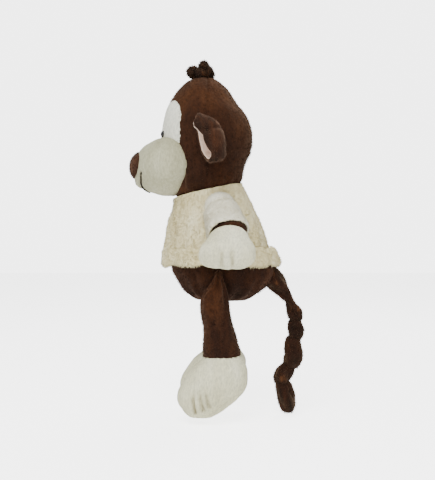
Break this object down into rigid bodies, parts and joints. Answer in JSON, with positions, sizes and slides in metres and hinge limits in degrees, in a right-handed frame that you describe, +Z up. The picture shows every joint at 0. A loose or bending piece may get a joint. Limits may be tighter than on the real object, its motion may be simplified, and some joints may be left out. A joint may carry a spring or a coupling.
{
  "type": "stuffed toy monkey",
  "caption": "Stuffed toy monkey with a jointed head, ears, arms, hands, legs, feet and a lumpy tail, in a short-sleeved plush shirt.",
  "frame": {"origin": "centre of the small flat seat under the body", "axes": "+Z up along the height, the monkey faces -Y, its left side is +X"},
  "size_m": [0.2146, 0.1968, 0.4019],
  "materials": {
    "brown_plush": "short brown plush pile",
    "cream_plush": "short cream plush pile",
    "shirt_plush": "fluffy cream plush pile",
    "ear_lining": "pinkish cream plush",
    "nose_plush": "brown plush pad",
    "tuft_pile": "long dark pile",
    "stuffing": "white polyester fibre",
    "thread": "dark embroidery thread",
    "eye": "glossy black plastic",
    "washer": "natural plastic"
  },
  "bodies": {
    "torso": {"body_cover": "brown_plush", "body_stuffing": "stuffing", "shirt_front": "shirt_plush", "shirt_back": "shirt_plush", "shirt_hem": "shirt_plush"},
    "neck": {"neck_stuffing": "stuffing"},
    "head": {"head_cover_front": "brown_plush", "head_cover_back": "brown_plush", "face_panel": "cream_plush", "head_stuffing": "stuffing", "muzzle_cover": "cream_plush", "muzzle_stuffing": "stuffing", "nose_pad": "nose_plush", "mouth_stitching": "thread", "eye_left": "eye", "eye_right": "eye", "eye_washer_left": "washer", "eye_washer_right": "washer", "hair_tuft": "tuft_pile"},
    "ear_left": {"ear_back_left": "brown_plush", "ear_lining_left": "ear_lining"},
    "shoulder_left": {"arm_root_left": "brown_plush"},
    "arm_left": {"arm_cover_left": "brown_plush", "arm_stuffing_left": "stuffing", "sleeve_left": "shirt_plush"},
    "hand_left": {"hand_cover_left": "cream_plush", "hand_stuffing_left": "stuffing"},
    "leg_left": {"leg_cover_left": "brown_plush", "leg_stuffing_left": "stuffing"},
    "foot_left": {"foot_cover_left": "cream_plush", "foot_stuffing_left": "stuffing"},
    "ear_right": {"ear_back_right": "brown_plush", "ear_lining_right": "ear_lining"},
    "shoulder_right": {"arm_root_right": "brown_plush"},
    "arm_right": {"arm_cover_right": "brown_plush", "arm_stuffing_right": "stuffing", "sleeve_right": "shirt_plush"},
    "hand_right": {"hand_cover_right": "cream_plush", "hand_stuffing_right": "stuffing"},
    "leg_right": {"leg_cover_right": "brown_plush", "leg_stuffing_right": "stuffing"},
    "foot_right": {"foot_cover_right": "cream_plush", "foot_stuffing_right": "stuffing"},
    "tail_1": {"tail_lump_1": "brown_plush"},
    "tail_2": {"tail_lump_2": "brown_plush"},
    "tail_3": {"tail_lump_3": "brown_plush"},
    "tail_4": {"tail_lump_4": "brown_plush"},
    "tail_5": {"tail_lump_5": "brown_plush"},
    "tail_6": {"tail_lump_6": "brown_plush"}
  },
  "joints": [
    {"name": "neck_turn", "type": "hinge", "parent": "torso", "child": "neck", "pos_m": [0, -0.0238, 0.1496], "axis": [0, -0.2147, 0.9767], "range_deg": [-35, 35], "stiffness_Nm_per_rad": 0.12},
    {"name": "neck_nod", "type": "hinge", "parent": "neck", "child": "head", "pos_m": [0, -0.0238, 0.1496], "axis": [1, 0, 0], "range_deg": [-18, 5], "stiffness_Nm_per_rad": 0.5},
    {"name": "ear_fold_left", "type": "hinge", "parent": "head", "child": "ear_left", "pos_m": [0.053, -0.006, 0.177], "axis": [0, 0, 1], "range_deg": [-4, 35], "stiffness_Nm_per_rad": 0.01},
    {"name": "shoulder_swing_left", "type": "hinge", "parent": "torso", "child": "shoulder_left", "pos_m": [0.04, -0.004, 0.104], "axis": [-1, 0, 0], "range_deg": [-40, 90], "stiffness_Nm_per_rad": 0.05},
    {"name": "shoulder_raise_left", "type": "hinge", "parent": "shoulder_left", "child": "arm_left", "pos_m": [0.04, -0.004, 0.104], "axis": [0, -1, 0], "range_deg": [0, 45], "stiffness_Nm_per_rad": 0.08},
    {"name": "wrist_bend_left", "type": "hinge", "parent": "arm_left", "child": "hand_left", "pos_m": [0.07, 0.005, 0.076], "axis": [0, -1, 0], "range_deg": [-8, 15], "stiffness_Nm_per_rad": 0.05},
    {"name": "hip_swing_left", "type": "hinge", "parent": "torso", "child": "leg_left", "pos_m": [0.04, -0.006, 0.033], "axis": [-1, 0, 0], "range_deg": [-8, 90], "deforming": ["shirt_hem"]},
    {"name": "ankle_bend_left", "type": "hinge", "parent": "leg_left", "child": "foot_left", "pos_m": [0.04, -0.002, -0.057], "axis": [-1, 0, 0], "range_deg": [-10, 10], "stiffness_Nm_per_rad": 0.08},
    {"name": "ear_fold_right", "type": "hinge", "parent": "head", "child": "ear_right", "pos_m": [-0.053, -0.006, 0.177], "axis": [0, 0, -1], "range_deg": [-4, 35], "stiffness_Nm_per_rad": 0.01},
    {"name": "shoulder_swing_right", "type": "hinge", "parent": "torso", "child": "shoulder_right", "pos_m": [-0.04, -0.004, 0.104], "axis": [-1, 0, 0], "range_deg": [-40, 90], "stiffness_Nm_per_rad": 0.05},
    {"name": "shoulder_raise_right", "type": "hinge", "parent": "shoulder_right", "child": "arm_right", "pos_m": [-0.04, -0.004, 0.104], "axis": [0, 1, 0], "range_deg": [0, 45], "stiffness_Nm_per_rad": 0.08},
    {"name": "wrist_bend_right", "type": "hinge", "parent": "arm_right", "child": "hand_right", "pos_m": [-0.07, 0.005, 0.076], "axis": [0, 1, 0], "range_deg": [-8, 15], "stiffness_Nm_per_rad": 0.05},
    {"name": "hip_swing_right", "type": "hinge", "parent": "torso", "child": "leg_right", "pos_m": [-0.04, -0.006, 0.033], "axis": [-1, 0, 0], "range_deg": [-8, 90], "deforming": ["shirt_hem"]},
    {"name": "ankle_bend_right", "type": "hinge", "parent": "leg_right", "child": "foot_right", "pos_m": [-0.04, -0.002, -0.057], "axis": [-1, 0, 0], "range_deg": [-10, 10], "stiffness_Nm_per_rad": 0.08},
    {"name": "tail_root", "type": "hinge", "parent": "torso", "child": "tail_1", "pos_m": [0, 0.0575, 0.0235], "axis": [1, 0, 0], "range_deg": [-3, 15], "stiffness_Nm_per_rad": 0.02},
    {"name": "tail_bend_1", "type": "hinge", "parent": "tail_1", "child": "tail_2", "pos_m": [0, 0.0752, 0], "axis": [0, 1, 0], "range_deg": [-10, 10], "stiffness_Nm_per_rad": 0.01},
    {"name": "tail_bend_2", "type": "hinge", "parent": "tail_2", "child": "tail_3", "pos_m": [0, 0.0822, -0.024], "axis": [1, 0, 0], "range_deg": [-3, 15], "stiffness_Nm_per_rad": 0.01},
    {"name": "tail_bend_3", "type": "hinge", "parent": "tail_3", "child": "tail_4", "pos_m": [0, 0.0803, -0.043], "axis": [0, 1, 0], "range_deg": [-10, 10], "stiffness_Nm_per_rad": 0.01},
    {"name": "tail_bend_4", "type": "hinge", "parent": "tail_4", "child": "tail_5", "pos_m": [0, 0.074, -0.077], "axis": [1, 0, 0], "range_deg": [-3, 15], "stiffness_Nm_per_rad": 0.01},
    {"name": "tail_bend_5", "type": "hinge", "parent": "tail_5", "child": "tail_6", "pos_m": [0, 0.0676, -0.095], "axis": [0, 1, 0], "range_deg": [-10, 10], "stiffness_Nm_per_rad": 0.01}
  ]
}
